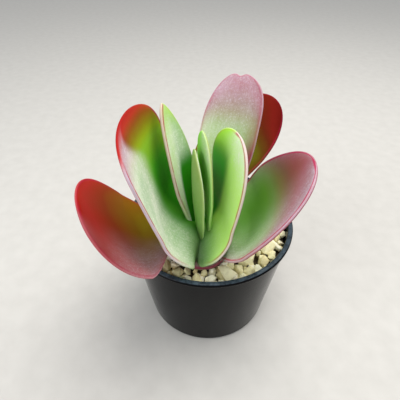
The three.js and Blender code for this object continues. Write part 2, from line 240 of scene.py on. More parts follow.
# How each leaf's foot joins the crown.
#   root    how far the foot runs on below the frame's leaf, narrowing to nothing
#   swell   how far the inner face bulges past the line between the margins, and the share
#           of the length by which the leaf is thin again
#   trim    share of the foot's near half width that is taken off
#   flare   share by which the lower half of the leaf is wider on its far side
#   clasp   radius round which the foot is curved, where it isn't the reach
#   settle  how far the foot's near margin spreads out from the stem and sinks on to the
#           collar, and the shares of the length between which it rises free
FEET = {
    "leaf_heart_front": dict(root=5, swell=(1.2, 0.2), clasp=9),
    "leaf_heart_rear": dict(root=3, swell=(1.0, 0.2), clasp=12),
    "leaf_inner_left": dict(root=3, swell=(1.0, 0.2), clasp=7),
    "leaf_inner_right": dict(
        root=2, swell=(1.2, 0.40), trim=-0.1, settle=(2.5, 6.2, 0.18, 0.45),
    ),
    "leaf_tall_left": dict(
        root=2, swell=(2.4, 0.42), trim=0.3, settle=(1.5, 6.2, 0.18, 0.45),
    ),
    "leaf_tall_rear": dict(root=4, swell=(2.0, 0.3)),
    "leaf_low_right": dict(root=4, swell=(1.5, 0.3), settle=(0, 5, 0.2, 0.42), flare=0.14),
    "leaf_low_rear": dict(root=4, swell=(1.5, 0.3)),
    "leaf_low_left": dict(root=4, swell=(1.5, 0.3)),
}
ROOT_STATIONS = 10
ROOT_END_ANGLE = 0.06
COLLAR_TOP = 70.5
COLLAR_BITE = 0.6
CLASP_SPAN = (0, 0.4)
TRIM_SPAN = (0, 0.2)
FLARE_RISE = (0.05, 0.35)
FLARE_FALL = (0.5, 0.95)
SPREAD_SPAN = (0, 0.12)
SINK_SPAN = (0, 0.1)
SINK_START = 0.3
SETTLE_FALLOFF = 1.3

# ---- Small helpers -----------------------


def smooth(value, low, high):
    share = np.clip((value - low) / (high - low), 0, 1)
    return share * share * (3 - 2 * share)


def mix(a, b, share):
    return a + (b - a) * share


def colour(text):
    """A hex colour as the linear values that shaders take."""
    parts = [int(text[i:i + 2], 16) / 255 for i in (1, 3, 5)]
    linear = [c / 12.92 if c <= 0.04045 else ((c + 0.055) / 1.055) ** 2.4 for c in parts]
    return (*linear, 1.0)


def add_object(name, data):
    made = bpy.data.objects.new(name, data)
    bpy.context.scene.collection.objects.link(made)
    return made


def piece(name, points, faces, material, stands_for=()):
    """Makes a smooth mesh object from points in millimetres, and hangs it on the frame."""
    mesh = bpy.data.meshes.new(name)
    mesh.from_pydata((np.asarray(points) * MM).tolist(), [], faces)
    mesh.validate()
    made = add_object(name, mesh)
    mesh.polygons.foreach_set("use_smooth", [True] * len(mesh.polygons))
    mesh.materials.append(material)
    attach(made, "root")
    if stands_for:
        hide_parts(*stands_for)
    return made


def give(made, name, values):
    """Stores one number for each point, for the material to read."""
    layer = made.data.attributes.new(name, "FLOAT", "POINT")
    layer.data.foreach_set("value", np.asarray(values, np.float32).ravel())


def ring_faces(rings, sides):
    """Quads that join rings of points, with strips of them across both end rings."""
    faces = []
    for i in range(rings - 1):
        for j in range(sides):
            k = (j + 1) % sides
            a, b = i * sides, (i + 1) * sides
            faces.append((a + j, b + j, b + k, a + k))
    last = (rings - 1) * sides
    for j in range(sides // 2):
        a, b = j, j + 1
        c, d = sides - j - 1, (sides - j) % sides
        strip = [a, b, c, d] if j < sides // 2 - 1 else [a, b, d]
        strip = list(dict.fromkeys(strip))
        if len(strip) > 2:
            faces.append(tuple(strip))
            faces.append(tuple(last + p for p in reversed(strip)))
    return faces


class Paint:
    """Builds the nodes of one material."""

    def __init__(self, name):
        self.material = bpy.data.materials.new(name)
        self.material.use_nodes = True
        self.tree = self.material.node_tree
        self.tree.nodes.clear()
        self.shader = self.add("ShaderNodeBsdfPrincipled")
        out = self.add("ShaderNodeOutputMaterial")
        self.tree.links.new(self.shader.outputs[0], out.inputs[0])

    def add(self, kind, **settings):
        node = self.tree.nodes.new(kind)
        for key, value in settings.items():
            setattr(node, key, value)
        return node

    def put(self, socket, value):
        if isinstance(value, bpy.types.NodeSocket):
            self.tree.links.new(value, socket)
        else:
            socket.default_value = value

    def set(self, **values):
        for key, value in values.items():
            self.put(self.shader.inputs[key.replace("_", " ")], value)

    def attribute(self, name):
        return self.add("ShaderNodeAttribute", attribute_name=name).outputs["Fac"]

    def math(self, operation, first, *others):
        for other in others:
            node = self.add("ShaderNodeMath", operation=operation)
            self.put(node.inputs[0], first)
            self.put(node.inputs[1], other)
            first = node.outputs[0]
        return first

    def total(self, *terms):
        return self.math("ADD", *terms)

    def times(self, *factors):
        return self.math("MULTIPLY", *factors)

    def spread(self, value, low, high, to_low=0.0, to_high=1.0):
        """Goes smoothly from to_low to to_high while the value goes from low to high."""
        node = self.add("ShaderNodeMapRange", interpolation_type="SMOOTHSTEP")
        for key, number in zip(range(5), (value, low, high, to_low, to_high)):
            self.put(node.inputs[key], number)
        return node.outputs[0]

    def ramp(self, value, stops):
        node = self.add("ShaderNodeValToRGB")
        ends = node.color_ramp.elements
        while len(ends) < len(stops):
            ends.new(0.5)
        for end, (place, shade) in zip(ends, stops):
            end.position = place
            end.color = colour(shade)
        self.put(node.inputs[0], value)
        return node.outputs[0]

    def place(self, scale=(1, 1, 1)):
        """Coordinates on the object, stretched."""
        node = self.add("ShaderNodeMapping")
        node.inputs["Scale"].default_value = scale
        self.put(node.inputs[0], self.add("ShaderNodeTexCoord").outputs["Object"])
        return node.outputs[0]

    def height(self):
        """Height above the ground, in metres."""
        node = self.add("ShaderNodeSeparateXYZ")
        self.put(node.inputs[0], self.place())
        return node.outputs[2]

    def grid(self, *values):
        node = self.add("ShaderNodeCombineXYZ")
        for socket, value in zip(node.inputs, values):
            self.put(socket, value)
        return node.outputs[0]

    def noise(self, scale, vector=None, detail=4.0, roughness=0.5, distortion=0.0):
        node = self.add("ShaderNodeTexNoise")
        node.inputs["Scale"].default_value = scale
        node.inputs["Detail"].default_value = detail
        node.inputs["Roughness"].default_value = roughness
        node.inputs["Distortion"].default_value = distortion
        self.put(node.inputs["Vector"], vector or self.place())
        return node.outputs["Fac"]

    def cells(self, scale):
        node = self.add("ShaderNodeTexVoronoi")
        node.inputs["Scale"].default_value = scale
        self.put(node.inputs["Vector"], self.place())
        return node.outputs["Distance"]

    def blend(self, share, a, b):
        node = self.add("ShaderNodeMix", data_type="RGBA")
        self.put(node.inputs[0], share)
        self.put(node.inputs[6], a)
        self.put(node.inputs[7], b)
        return node.outputs[2]

    def relief(self, height, distance, strength=1.0, under=None):
        node = self.add("ShaderNodeBump")
        node.inputs["Strength"].default_value = strength
        node.inputs["Distance"].default_value = distance
        self.put(node.inputs["Height"], height)
        if under:
            self.put(node.inputs["Normal"], under)
        return node.outputs[0]


# ---- The leaves --------------------------


def half_width(leaf, along):
    """Half the leaf's width at each place along."""
    to_belly = np.sin(np.pi / 2 * np.clip(along / leaf["belly"], 0, 1))
    to_belly = to_belly ** leaf.get("flank", FLANK)
    past_belly = np.clip((along - leaf["belly"]) / (1 - leaf["belly"]), 0, 1)
    share = np.where(
        along < leaf["belly"],
        mix(leaf["waist"], 1, to_belly),
        (1 - past_belly ** leaf.get("square", SQUARE)) ** leaf.get("point", POINT),
    )
    return leaf["width"] / 2 * share


def growth_at(leaf, along):
    """The direction in which the leaf runs at each place along."""
    rise = np.radians(leaf["rise"] + leaf["curl"] * along)
    heading = np.radians(leaf["heading"] + leaf["turn"] * along)
    return np.stack(
        [np.cos(rise) * np.cos(heading), np.cos(rise) * np.sin(heading), np.sin(rise)], 1
    )


def stations():
    """Places of the rings: shares of the blade's length, and of the root below it."""
    along = np.sin(np.radians(np.linspace(0, TIP_ANGLE, LEAF_STATIONS)))
    below = np.cos(np.linspace(ROOT_END_ANGLE, np.pi / 2, ROOT_STATIONS, endpoint=False))
    along = np.concatenate([np.zeros(ROOT_STATIONS), along])
    below = np.concatenate([below, np.zeros(LEAF_STATIONS)])
    return along, below


def middle_line(leaf, root, along, below):
    """Points down the middle of the leaf and on into its root."""
    heading = math.radians(leaf["heading"])
    start = np.array([
        CROWN[0] + leaf["reach"] * math.cos(heading),
        CROWN[1] + leaf["reach"] * math.sin(heading),
        leaf["foot"],
    ])
    steps = (np.arange(LINE_STEPS) + 0.5) / LINE_STEPS
    path = start + np.cumsum(growth_at(leaf, steps), 0) * leaf["length"] / LINE_STEPS
    path = np.vstack([start, path])
    marks = np.linspace(0, 1, LINE_STEPS + 1)
    middle = np.stack([np.interp(along, marks, path[:, k]) for k in range(3)], 1)
    return middle - growth_at(leaf, along) * (below * root)[:, None]


def leaf_axes(leaf, along):
    """Directions across the leaf and out of its inner face, at each place along."""
    swing = np.radians(leaf["heading"] + leaf["turn"] * along)
    level = np.stack([-np.sin(swing), np.cos(swing), np.zeros_like(swing)], 1)
    face = np.cross(growth_at(leaf, along), level)
    roll = np.radians(leaf["roll"] + leaf["twist"] * along)[:, None]
    across = level * np.cos(roll) + face * np.sin(roll)
    up = face * np.cos(roll) - level * np.sin(roll)
    return across, up


def outline(leaf, foot, near, along, share, narrowing):
    """How far the leaf reaches from its middle line, for each point of each ring."""
    reach = half_width(leaf, along)[:, None] * np.ones_like(share)
    if "near_end" in leaf:
        near_shape = dict(zip(("belly", "square", "point"), leaf["near_end"]))
        other = half_width({**leaf, **near_shape}, along)
        reach = np.where(near * share > 0, other[:, None], reach)
    reach = reach * narrowing[:, None]
    trimmed = foot.get("trim", 0) * (1 - smooth(along, *TRIM_SPAN))[:, None]
    reach = reach * (1 - trimmed * np.clip(near * share, 0, 1))
    flared = foot.get("flare", 0) * smooth(along, *FLARE_RISE)
    flared = flared * (1 - smooth(along, *FLARE_FALL))
    return reach * (1 + flared[:, None] * np.clip(-near * share, 0, 1))


def notched(leaf, points, along, offset):
    """Draws the tip back where the leaf has a notch."""
    if "notch" not in leaf:
        return points
    place, breadth, cleft = leaf["notch"]
    dip = cleft * np.exp(-(((offset - place) / breadth) ** 2))
    dip = dip * smooth(along, *NOTCH_SPAN)[:, None]
    return points - growth_at(leaf, along)[:, None, :] * dip[..., None]


def swollen(foot, points, along, share, side, up, narrowing):
    """Fills the hollow of the inner face near the foot until it bulges a little."""
    bulge, thin_by = foot["swell"]
    half = LEAF_SIDES // 2
    low_edge, high_edge = points[:, 0:1], points[:, half:half + 1]
    chord = (low_edge + high_edge) / 2 + (low_edge - high_edge) / 2 * share[None, :, None]
    crowned = (1 - share ** 2)[None, :, None] * up[:, None, :] * bulge
    amount = (1 - smooth(along, 0, thin_by))[:, None] * (side > 0)[None, :]
    return mix(points, chord + crowned * narrowing[:, None, None], amount[..., None])


def settled(foot, points, along, nearness):
    """Spreads the near margin's foot out from the stem and sinks it on to the collar."""
    spread, sink, free_from, free_by = foot.get("settle", (0, 0, 0, 1))
    held = (1 - smooth(along, free_from, free_by))[:, None]
    weight = np.clip(nearness, 0, 1) ** SETTLE_FALLOFF * held
    outward = points[..., :2] - CROWN
    outward = outward / np.linalg.norm(outward, axis=-1, keepdims=True)
    opened = spread * weight * smooth(along, *SPREAD_SPAN)[:, None]
    points[..., :2] += outward * opened[..., None]
    sinking = mix(SINK_START, 1, smooth(along, *SINK_SPAN))[:, None]
    sunk = points[..., 2] - sink * weight * sinking
    lowest = np.minimum(points[..., 2], COLLAR_TOP - COLLAR_BITE)
    points[..., 2] = np.where(weight > 0, np.maximum(sunk, lowest), points[..., 2])
    return points


def leaf_skin(leaf, foot, near):
    """Rings of points from root to tip, the place along of each ring, and for the points of
    a ring their share across and the side they are on, above 0 for the inner face."""
    along, below = stations()
    middle = middle_line(leaf, foot["root"], along, below)
    across, up = leaf_axes(leaf, along)
    bend = mix(math.radians(leaf["cup"]) / leaf["width"],
               1 / foot.get("clasp", leaf["reach"]), 1 - smooth(along, *CLASP_SPAN))
    narrowing = np.sqrt(1 - below ** 2)
    tip_round = np.sqrt(1 - along ** TIP_BLUNTNESS)
    depth = leaf["thickness"] / 2 * (FOOT_FULLNESS - THINNING * along) * tip_round * narrowing

    turn = np.arange(LEAF_SIDES) * 2 * np.pi / LEAF_SIDES
    side = np.sin(turn)
    share = np.cos(turn)
    offset = outline(leaf, foot, near, along, share, narrowing) * share
    lean = leaf.get("lean", 0) * smooth(along, *LEAN_SPAN)
    angle = bend[:, None] * (offset + lean[:, None])
    lift = depth[:, None] * np.sign(side) * np.abs(side) ** EDGE_FULLNESS
    radius = (1 / bend)[:, None] - lift
    points = (
        middle[:, None, :]
        + across[:, None, :] * (radius * np.sin(angle))[..., None]
        + up[:, None, :] * ((1 / bend)[:, None] - radius * np.cos(angle))[..., None]
    )
    points = notched(leaf, points, along, offset)
    points = swollen(foot, points, along, share, side, up, narrowing)
    points = settled(foot, points, along, near * share)
    return points, along, share, side


def from_margin(points):
    """How far each point lies, round its ring, from the nearer edge of the leaf."""
    gaps = np.linalg.norm(np.roll(points, -1, 1) - points, axis=2)
    run = np.concatenate([np.zeros((len(points), 1)), np.cumsum(gaps, 1)], 1)
    half = points.shape[1] // 2
    total = run[:, -1:]
    places = run[:, :-1]
    far = np.abs(places - run[:, half:half + 1])
    return np.minimum(np.minimum(places, total - places), far)


# Spans and softness of the changes of colour, as places along or across the leaf.
TIP_INSET = 1.2
TIP_MARGIN = 0.6
FLUSH_SHEDS = 1.8
FLUSH_HIDES = 3
SKEW_FROM = 0.6
RUBBED_SPAN = (0.02, 0.42)
FAR_TO_NEAR = (-0.3, 0.3)
SHED_SPAN = (0.86, 0.95)
SHED_REACH = 1.2
CREVICE_SHADE_SPAN = (0.02, 0.24)
CREVICE_SHADE_SIDE = (-0.3, 0.5)
STREAK_SIDE = 0.25
STREAK_START = 0.1
STREAK_END = 0.17
NO_STREAK = (0, 0, 1, 0, 1)


def streak(terms, across, along):
    """A soft-edged patch on the leaf."""
    amount, low, high, start, end = terms
    window = smooth(across, low - STREAK_SIDE, low + STREAK_SIDE)
    window = window * (1 - smooth(across, high - STREAK_SIDE, high + STREAK_SIDE))
    window = window * smooth(along, start - STREAK_START, start + STREAK_START)
    return amount * window * (1 - smooth(along, end - STREAK_END, end + STREAK_END))


def leaf_values(pattern, points, along, across, side):
    """What the material reads at each point of a leaf: ripeness, powder and the rest."""
    u = along[:, None] * np.ones_like(across)[None, :]
    s = pattern["near"] * across[None, :] * np.ones_like(along)[:, None]
    back = (side < 0)[None, :] * np.ones_like(u)
    inset = from_margin(points)
    tip_end = (1 - along)[:, None] * np.linalg.norm(points[-1, 0] - points[0, 0])
    inset = np.minimum(inset, tip_end * TIP_INSET + TIP_MARGIN)

    gain, start, end = pattern["tip"]
    pigment = pattern["pigment"] + gain * smooth(u, start, end)
    gain, reach = pattern["margin"]
    pigment = pigment + gain * np.exp(-inset / reach) + pattern["side"] * s
    flush = streak(pattern.get("flush", NO_STREAK), s, u)
    pigment = pigment + flush

    leaning = s - pattern.get("slant", 0) * (u - 0.5)
    # Dark green streak: partly bare flesh, partly painted shade cast by the neighbouring leaves.
    deep_and_shade = streak(pattern.get("deep_and_shade", NO_STREAK), leaning, u)
    # Painted highlight: a light yellow-green streak where the leaf catches the light.
    highlight = streak(pattern.get("highlight", NO_STREAK), leaning, u)
    amount, start, end = pattern.get("cap", (0, 0, 1))
    highlight = np.maximum(highlight, amount * smooth(u, start, end)) * (1 - deep_and_shade)
    deep_and_shade = deep_and_shade * (1 - back)
    highlight = highlight * (1 - back) * (1 - np.clip(flush * FLUSH_HIDES, 0, 1))

    amount, low, high = pattern["bloom"]
    bare, start, end = pattern["bare"]
    worn_along = u + pattern.get("skew", 0) * np.clip(SKEW_FROM - s, 0, 1)
    powder = amount * smooth(s, low, high) * (1 - bare * smooth(worn_along, start, end))
    powder = powder * (1 - pattern.get("rubbed", 0) * (1 - smooth(u, *RUBBED_SPAN)))
    amount, reach = pattern.get("edge_dust", (0, 1))
    powder = powder + amount * np.exp(-inset / reach)
    powder = powder * (1 - np.clip(flush * FLUSH_SHEDS, 0, 1))
    powder = mix(powder, pattern["back"], back)

    shed = pattern.get("shed", 0) * smooth(u, *SHED_SPAN)
    powder = powder * (1 - shed * np.exp(-((inset / SHED_REACH) ** 2)))
    edging = smooth(u, *pattern.get("fade", (-1, 0)))
    edging = edging * mix(pattern.get("far_rim", 1), 1, smooth(s, *FAR_TO_NEAR))
    edging = edging * (1 - shed)
    # Painted shade in the crevice where the foot meets its opposite leaf.
    crevice_shade = pattern.get("crevice_shade", 0) * (1 - smooth(u, *CREVICE_SHADE_SPAN))
    crevice_shade = crevice_shade * smooth(s, *CREVICE_SHADE_SIDE)
    return dict(along=u, across=s, inset=inset, pigment=pigment, powder=powder, deep_and_shade=deep_and_shade,
                highlight=highlight, edging=edging, crevice_shade=crevice_shade)


# Colours of the flesh as it ripens, from 0 to 1.
BRIGHT = [
    (0.00, "#0f3d07"), (0.14, "#286f12"), (0.28, "#4f9a2a"), (0.40, "#7cb53a"),
    (0.50, "#8f9a1c"), (0.62, "#875f12"), (0.74, "#8f3512"), (0.86, "#b0261c"),
    (1.00, "#981712"),
]
MUTED = [
    (0.00, "#1d5a0c"), (0.16, "#468a1c"), (0.30, "#68a02c"), (0.42, "#7d9a48"),
    (0.54, "#8a7d40"), (0.66, "#8c5a40"), (0.80, "#a13a40"), (1.00, "#8a2430"),
]
# Colour of the painted highlight where a leaf catches the light.
HIGHLIGHT = "#b4dc4e"
# Dark greens of that streak at its foot and at its tip; the streak is partly painted shade.
DEEP_AND_SHADE_FOOT = "#2a8010"
DEEP_AND_SHADE_TIP = "#43b81c"
DUST = "#dfe6d3"
RIPE_DUST = "#cdb6c2"
# Dark brown of the painted shade that darkens a whole leaf.
OVERALL_SHADE = "#220a04"
# Colour of the painted shade in the crevice at a leaf's foot.
CREVICE_SHADE = "#4b5738"
LINE = "#a81c48"
POLISH = 0.05
# Where the rim ends and the line lies, in millimetres from the leaf's edge.
RIM_EDGE = (0.45, 1.05)
LINE_RISE = (0.5, 0.9)
LINE_FALL = (1.3, 2.1)


def ripe_flesh(paint, pattern, mottle):
    """How ripe the flesh is, and its colour with the painted highlight laid over it."""
    drift = paint.noise(22, detail=2)
    pigment = paint.total(paint.attribute("pigment"), -0.07,
                          paint.times(mottle, 0.06), paint.times(drift, 0.08))
    flesh = paint.ramp(pigment, MUTED if pattern.get("muted") else BRIGHT)
    # Painted highlight colour, laid over the flesh below.
    highlight = colour(pattern.get("highlight_colour", HIGHLIGHT))
    return pigment, paint.blend(paint.attribute("highlight"), flesh, highlight)


def powder_cover(paint, along, across, specks):
    """How well the powder covers the flesh: blotched, streaked, scurfy and flecked."""
    powder = paint.attribute("powder")
    blotches = paint.spread(paint.noise(48, detail=5, roughness=0.6), 0.3, 0.7, 0.72, 1.22)
    streaks = paint.noise(1.0, paint.grid(paint.times(along, 5.0), paint.times(across, 34.0)),
                          detail=5, roughness=0.62, distortion=0.6)
    uneven = paint.times(paint.total(paint.times(streaks, 0.50), -0.25, specks),
                         paint.spread(powder, 0.0, 0.5))
    scurf = paint.times(
        paint.spread(paint.noise(620, detail=6, roughness=0.75), 0.5, 0.7),
        paint.spread(powder, 0.08, 0.6, 0.0, 0.30),
    )
    flecks = paint.times(
        paint.spread(paint.noise(1700, detail=2), 0.54, 0.70),
        paint.spread(powder, 0.0, 0.6, 0.0, 0.28),
    )
    return paint.total(paint.times(powder, blotches), uneven, scurf, flecks)


def edged(paint, pattern, skin, along, inset):
    """Adds the pale rim and the crimson line inside it, both broken here and there."""
    edging = paint.attribute("edging")
    broken = paint.noise(1.0, paint.grid(paint.times(along, 14.0), inset),
                         detail=4, roughness=0.6)
    rim = paint.times(
        paint.spread(inset, *RIM_EDGE, pattern["rim"], 0.0),
        paint.spread(broken, 0.2, 0.5, 0.55, 1.0),
        edging,
    )
    line = paint.times(
        paint.spread(inset, *LINE_RISE),
        paint.spread(inset, *LINE_FALL, 1.0, 0.0),
        paint.spread(broken, 0.25, 0.6, 0.35, 1.0),
        pattern["line"],
        edging,
    )
    skin = paint.blend(rim, skin, colour(pattern["rim_colour"]))
    return paint.blend(line, skin, colour(LINE))


def leaf_material(name, pattern):
    paint = Paint(name)
    along = paint.attribute("along")
    across = paint.attribute("across")
    mottle = paint.noise(70, detail=5)
    grains = paint.noise(900, detail=3, roughness=0.7)
    specks = paint.total(paint.times(grains, 0.34), -0.17)

    pigment, flesh = ripe_flesh(paint, pattern, mottle)
    powder = powder_cover(paint, along, across, specks)
    dust = paint.blend(paint.spread(pigment, 0.35, 0.8),
                       colour(pattern.get("dust", DUST)), colour(RIPE_DUST))
    skin = paint.blend(powder, flesh, dust)
    # Painted shade over bare dark green flesh, where neighbouring leaves crowd this one.
    deep_and_shade = paint.total(paint.attribute("deep_and_shade"), paint.times(mottle, 0.25))
    deep_and_shade_colour = paint.blend(paint.spread(along, 0.42, 0.78),
                         colour(DEEP_AND_SHADE_FOOT), colour(pattern.get("deep_and_shade_tip", DEEP_AND_SHADE_TIP)))
    skin = paint.blend(paint.spread(deep_and_shade, 0.2, 0.95), skin, deep_and_shade_colour)
    # Painted shade: the whole skin darkened towards dark brown.
    skin = paint.blend(pattern.get("overall_shade", 0), skin, colour(OVERALL_SHADE))
    # Painted shade in the crevice at the foot.
    skin = paint.blend(paint.attribute("crevice_shade"), skin, colour(CREVICE_SHADE))
    skin = edged(paint, pattern, skin, along, paint.attribute("inset"))

    gloss = paint.total(paint.spread(powder, 0.0, 0.6, 0.42, 0.68), paint.times(specks, 0.5))
    fine = paint.total(paint.times(grains, 0.4), mottle)
    paint.set(Base_Color=skin, Roughness=gloss, Normal=paint.relief(fine, 0.00022, 0.5),
              Subsurface_Weight=0.12, Subsurface_Radius=(0.9, 1.0, 0.35),
              Subsurface_Scale=0.002, Specular_IOR_Level=pattern.get("polish", POLISH))
    return paint.material


def make_leaf(name, leaf):
    pattern = PATTERNS[name]
    points, along, across, side = leaf_skin(leaf, FEET[name], pattern["near"])
    made = piece(
        name.replace("leaf_", "leaf_blade_"),
        points.reshape(-1, 3),
        ring_faces(len(along), len(across)),
        leaf_material("skin_of_" + name, pattern),
        [name],
    )
    for key, numbers in leaf_values(pattern, points, along, across, side).items():
        give(made, key, numbers)


# ---- The stem ----------------------------

COLLAR_RADIUS = 13.5
COLLAR_LOBE = 3.6
COLLAR_LOBE_SPREAD = 35
COLLAR_LOBE_HEADINGS = (189, 87)
# Height, radius, and how far the radius is that of the collar.
STEM_LEVELS = np.array([
    (22, 1.2, 0), (34, 3.4, 0), (48, 6.2, 0), (58, 7.4, 0), (64.4, 7.2, 0),
    (65.6, 7.0, 0.62), (67.2, 7.0, 0.94), (68.8, 7.0, 1), (69.9, 7.0, 0.93),
    (70.3, 7.0, 0.75), (70.5, 6.7, 0), (74, 4.6, 0), (77, 2.4, 0), (79, 1.2, 0),
    (80, 0.6, 0),
])
STEM_SIDES = 144
RINGS_PER_LEVEL = 5
WRINKLES = 7
WRINKLE_DEPTH = 0.12
WRINKLE_SLANT = 40
# Heights in metres between which the collar's crimson lip comes and goes, and the neck
# turns green.
LIP_COMES = (0.0672, 0.0688)
LIP_GOES = (0.0694, 0.0702)
GREENING = (0.072, 0.078)


def collar_radius(heading):
    """The collar is wider under the two lowest leaves."""
    radius = np.full_like(heading, COLLAR_RADIUS, dtype=float)
    for lobe in COLLAR_LOBE_HEADINGS:
        away = (heading - lobe + 540) % 360 - 180
        radius = radius + COLLAR_LOBE * np.exp(-((away / COLLAR_LOBE_SPREAD) ** 2))
    return radius


def stem_material():
    paint = Paint("skin_of_stem")
    level = paint.height()
    mottle = paint.noise(160, detail=5)
    sheath = paint.ramp(mottle, [(0.3, "#6f5a4c"), (0.5, "#8d7568"), (0.7, "#9c8a62")])
    lip = paint.times(paint.spread(level, *LIP_COMES),
                      paint.spread(level, *LIP_GOES, 1.0, 0.0), 0.9)
    skin = paint.blend(lip, sheath, colour("#8e2c48"))
    skin = paint.blend(paint.spread(level, *GREENING), skin, colour("#6d9a4a"))
    paint.set(Base_Color=skin, Roughness=paint.spread(mottle, 0.3, 0.7, 0.45, 0.65),
              Normal=paint.relief(mottle, 0.0003, 0.6))
    return paint.material


def make_stem():
    heading = np.arange(STEM_SIDES) * 360 / STEM_SIDES
    gaps = len(STEM_LEVELS) - 1
    marks = np.linspace(0, gaps, RINGS_PER_LEVEL * gaps + 1)
    levels = np.stack([np.interp(marks, range(gaps + 1), STEM_LEVELS[:, k]) for k in range(3)], 1)
    rings = []
    for height, radius, flare in levels:
        wrinkles = np.sin(np.radians(heading * WRINKLES + height * WRINKLE_SLANT))
        size = mix(radius, collar_radius(heading), flare) + WRINKLE_DEPTH * wrinkles * flare
        rings.append(np.stack([
            CROWN[0] + size * np.cos(np.radians(heading)),
            CROWN[1] + size * np.sin(np.radians(heading)),
            np.full_like(heading, height),
        ], 1))
    piece("stem_and_collar", np.array(rings).reshape(-1, 3),
          ring_faces(len(levels), STEM_SIDES), stem_material(), ["stem"])


# ---- The pot -----------------------------

RIM_DEPTH = 2.7
LIP_OVERHANG = 1.6
BASE_RADIUS = 40.0
BASE_EDGE = 2.4
WALL = 1.5
FLOOR = 2.2
FLOOR_CORNER = 1.5
FLOOR_RING = 18
MOUTH_ROUND = 1.0
DRAIN_COUNT = 6
DRAIN_RADIUS = 3.0
DRAIN_CIRCLE = 28.0
DRILL_ENDS = (-5, 8)
DRILL_SIDES = 32
POT_SIDES = 192
WALL_STEPS = 26
POT_SHARP_ANGLE = 40
# Depths below the pot's top, in millimetres, of the painted reflection on the rim's top edge.
RIM_REFLECTION_BAND = (0.5, 0.1)
WALL_TOP_RADIUS = RIM_RADIUS - LIP_OVERHANG
WALL_TOP = POT_HEIGHT - RIM_DEPTH


def wall_radius(height):
    """Radius of the pot's outer face below its rim."""
    share = (height - BASE_EDGE) / (WALL_TOP - BASE_EDGE)
    return mix(BASE_RADIUS, WALL_TOP_RADIUS, share)


def arc(centre_radius, centre_height, size, start, end, steps):
    """Points of a profile on part of a circle."""
    turns = np.radians(np.linspace(start, end, steps + 1))
    return [(centre_radius + size * math.cos(t), centre_height + size * math.sin(t))
            for t in turns]


def turned(profile, sides):
    """Points and quads of a solid of revolution whose profile starts and ends on Z."""
    turns = np.arange(sides) * 2 * np.pi / sides
    rings = profile[1:-1]
    points = [(0, 0, profile[0][1])]
    points += [(r * math.cos(t), r * math.sin(t), z) for r, z in rings for t in turns]
    points.append((0, 0, profile[-1][1]))
    faces = []
    for j in range(sides):
        k = (j + 1) % sides
        faces.append((0, 1 + k, 1 + j))
        last = 1 + (len(rings) - 1) * sides
        faces.append((last + j, last + k, len(points) - 1))
        for i in range(len(rings) - 1):
            a, b = 1 + i * sides, 1 + (i + 1) * sides
            faces.append((a + j, a + k, b + k, b + j))
    return points, faces


def pot_material():
    paint = Paint("black_pot_plastic")
    smudge = paint.noise(45, detail=6, roughness=0.6)
    dust = paint.noise(420, detail=4, roughness=0.7)
    # Scuff noise: breaks up the painted rim reflection and varies the plastic's roughness.
    scuffs_and_reflection = paint.noise(60, paint.place((6, 6, 0.5)), detail=6, roughness=0.7)
    base = paint.ramp(smudge, [(0.3, "#020203"), (0.6, "#040506"), (0.8, "#08090b")])
    specks = paint.spread(dust, 0.66, 0.78, 0.0, 0.12)
    skin = paint.blend(specks, base, colour("#6b6455"))
    # Painted reflection: a blue-grey band on the rim's top edge stands in for the light it
    # catches.
    rim_reflection = paint.times(
        paint.spread(paint.height(), *[(POT_HEIGHT - drop) * MM for drop in RIM_REFLECTION_BAND]),
        paint.spread(scuffs_and_reflection, 0.3, 0.65, 0.25, 0.9),
    )
    skin = paint.blend(rim_reflection, skin, colour("#46535d"))
    rough = paint.total(paint.spread(smudge, 0.3, 0.8, 0.10, 0.2),
                        paint.spread(scuffs_and_reflection, 0.55, 0.75, 0.0, 0.14))
    waves = paint.noise(30, paint.place((1, 1, 0.25)), detail=3)
    fine = paint.relief(dust, 0.00006, 0.6)
    paint.set(Base_Color=skin, Roughness=rough, Normal=paint.relief(waves, 0.0006, 0.35, fine),
              IOR=1.4, Specular_IOR_Level=0.12)
    return paint.material


def drill(made, x, y):
    """Cuts one drainage hole through the pot's floor."""
    low, high = DRILL_ENDS
    points, faces = turned([(0, low), (DRAIN_RADIUS, low), (DRAIN_RADIUS, high), (0, high)],
                           DRILL_SIDES)
    mesh = bpy.data.meshes.new("drill")
    mesh.from_pydata([((px + x) * MM, (py + y) * MM, pz * MM) for px, py, pz in points], [],
                     faces)
    bit = add_object("drill", mesh)
    cut = made.modifiers.new("cut", "BOOLEAN")
    cut.operation = "DIFFERENCE"
    cut.solver = "EXACT"
    cut.object = bit
    shape = bpy.data.meshes.new_from_object(
        made.evaluated_get(bpy.context.evaluated_depsgraph_get())
    )
    made.modifiers.clear()
    made.data = shape
    bpy.data.objects.remove(bit)


